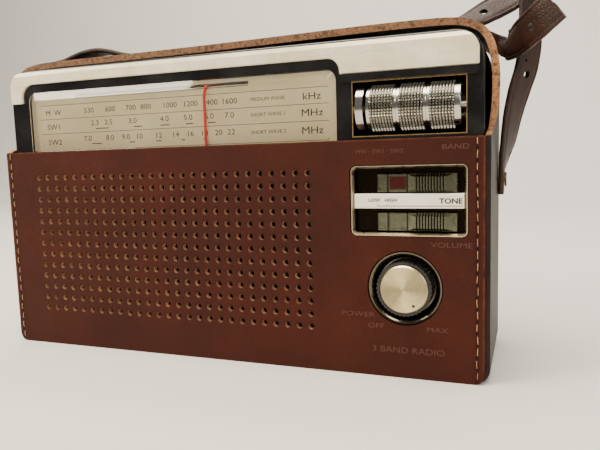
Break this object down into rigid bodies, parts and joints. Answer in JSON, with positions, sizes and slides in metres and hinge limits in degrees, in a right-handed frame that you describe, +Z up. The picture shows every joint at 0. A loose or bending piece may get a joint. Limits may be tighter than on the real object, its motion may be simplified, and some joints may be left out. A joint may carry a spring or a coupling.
{
  "type": "portable radio",
  "caption": "Portable radio in a stitched leather case with hood and carry strap; dial window, tuning roller, slide switches, volume knob and telescopic antenna.",
  "frame": {"origin": "centre of the leather case's flat base, on the table", "axes": "+X towards the tuning roller's end, to the viewer's right; +Y towards the back; +Z up"},
  "size_m": [0.2454, 0.0627, 0.1733],
  "materials": {
    "tan_leather": "satin",
    "dark_leather": "satin",
    "strap_leather": "satin",
    "black_plastic": "gloss",
    "grey_plastic": "matte",
    "aluminium": "brushed",
    "scale_aluminium": "satin",
    "clear_plastic": "gloss",
    "chrome": "polished",
    "steel": "brushed",
    "brass": "satin",
    "red_paint": "gloss",
    "paper": "matte",
    "ferrite": "matte",
    "board": "matte",
    "cord": "matte",
    "cell": "gloss"
  },
  "bodies": {
    "radio": {"case_front_panel": "tan_leather", "case_side_band": "dark_leather", "case_press_studs": "brass", "strap_rivets": "brass", "carry_strap": "strap_leather", "strap_tail": "strap_leather", "front_cabinet": "black_plastic", "rear_cabinet": "black_plastic", "cabinet_screws": "steel", "top_trim": "aluminium", "dial_lens": "clear_plastic", "dial_scale_plate": "scale_aluminium", "switch_bezel": "chrome", "switch_label_strip": "aluminium", "band_switch": "grey_plastic", "tone_switch": "grey_plastic", "control_bracket": "steel", "volume_dish": "chrome", "volume_pot": "steel", "pulley_pins": "steel", "tuning_capacitor": "grey_plastic", "dial_cord": "cord", "pointer_rail": "steel", "speaker_frame": "steel", "speaker_cone": "paper", "speaker_magnet": "ferrite", "circuit_board": "board", "if_transformers": "aluminium", "electrolytic_capacitors": "grey_plastic", "transistors": "aluminium", "audio_transformers": "steel", "ferrite_rod": "ferrite", "antenna_coil": "cord", "ferrite_holders": "grey_plastic", "battery_box": "grey_plastic", "batteries": "cell", "battery_contacts": "steel", "earphone_jack": "grey_plastic", "dc_jack": "grey_plastic", "antenna_tube": "chrome"},
    "back_flap": {"case_back_flap": "dark_leather", "flap_press_studs": "brass"},
    "band_grip": {"band_slider": "chrome"},
    "tone_grip": {"tone_slider": "chrome"},
    "volume": {"volume_knob": "black_plastic", "volume_knob_cap": "aluminium", "volume_shaft": "brass"},
    "tuning": {"tuning_shaft": "steel", "tuning_roller": "chrome", "tuning_end_ring": "chrome"},
    "left_pulley": {"idler_left": "grey_plastic"},
    "top_pulley": {"idler_top": "grey_plastic"},
    "low_pulley": {"idler_low": "grey_plastic"},
    "cord_drum": {"gang_drum": "grey_plastic"},
    "pointer": {"dial_pointer": "red_paint"},
    "antenna_1": {"antenna_section_1": "chrome"},
    "antenna_2": {"antenna_section_2": "chrome"},
    "antenna_3": {"antenna_section_3": "chrome"},
    "antenna_4": {"antenna_tip": "chrome"}
  },
  "joints": [
    {"name": "tuning_turn", "type": "hinge", "parent": "radio", "child": "tuning", "pos_m": [0.0815, -0.022, 0.1003], "axis": [1, 0, 0], "range_deg": [-401, 1747.4]},
    {"name": "pointer_slide", "type": "slide", "parent": "radio", "child": "pointer", "axis": [1, 0, 0], "range_m": [-0.061, 0.014]},
    {"name": "cord_drum_turn", "type": "hinge", "parent": "radio", "child": "cord_drum", "pos_m": [0.0234, -0.02, 0.087], "axis": [0, 1, 0], "range_deg": [-34, 146]},
    {"name": "left_pulley_turn", "type": "hinge", "parent": "radio", "child": "left_pulley", "pos_m": [-0.079, -0.02, 0.11625], "axis": [0, 1, 0], "range_deg": [-667, 153]},
    {"name": "top_pulley_turn", "type": "hinge", "parent": "radio", "child": "top_pulley", "pos_m": [0.0514, -0.02, 0.1175], "axis": [0, 1, 0], "range_deg": [-875, 201]},
    {"name": "low_pulley_turn", "type": "hinge", "parent": "radio", "child": "low_pulley", "pos_m": [0.0514, -0.02, 0.062], "axis": [0, 1, 0], "range_deg": [-875, 201]},
    {"name": "volume_turn", "type": "hinge", "parent": "radio", "child": "volume", "pos_m": [0.0783, -0.0286, 0.0341], "axis": [0, -1, 0], "range_deg": [0, 300]},
    {"name": "band_slide", "type": "slide", "parent": "radio", "child": "band_grip", "axis": [1, 0, 0], "range_m": [-0.0082, 0]},
    {"name": "tone_slide", "type": "slide", "parent": "radio", "child": "tone_grip", "axis": [1, 0, 0], "range_m": [-0.0035, 0]},
    {"name": "flap_open", "type": "hinge", "parent": "radio", "child": "back_flap", "pos_m": [0, 0.0288, 0.0012], "axis": [-1, 0, 0], "range_deg": [0, 85]},
    {"name": "antenna_slide_1", "type": "slide", "parent": "radio", "child": "antenna_1", "axis": [0, 0, 1], "range_m": [0, 0.092]},
    {"name": "antenna_slide_2", "type": "slide", "parent": "antenna_1", "child": "antenna_2", "axis": [0, 0, 1], "range_m": [0, 0.092]},
    {"name": "antenna_slide_3", "type": "slide", "parent": "antenna_2", "child": "antenna_3", "axis": [0, 0, 1], "range_m": [0, 0.092]},
    {"name": "antenna_slide_4", "type": "slide", "parent": "antenna_3", "child": "antenna_4", "axis": [0, 0, 1], "range_m": [0, 0.092]}
  ],
  "couplings": [
    {"joint": "pointer_slide", "follows": "tuning_turn", "m_per_rad": -0.002},
    {"joint": "cord_drum_turn", "follows": "tuning_turn", "ratio": 0.083333},
    {"joint": "left_pulley_turn", "follows": "tuning_turn", "ratio": -0.38095},
    {"joint": "top_pulley_turn", "follows": "tuning_turn", "ratio": -0.5},
    {"joint": "low_pulley_turn", "follows": "tuning_turn", "ratio": -0.5}
  ]
}
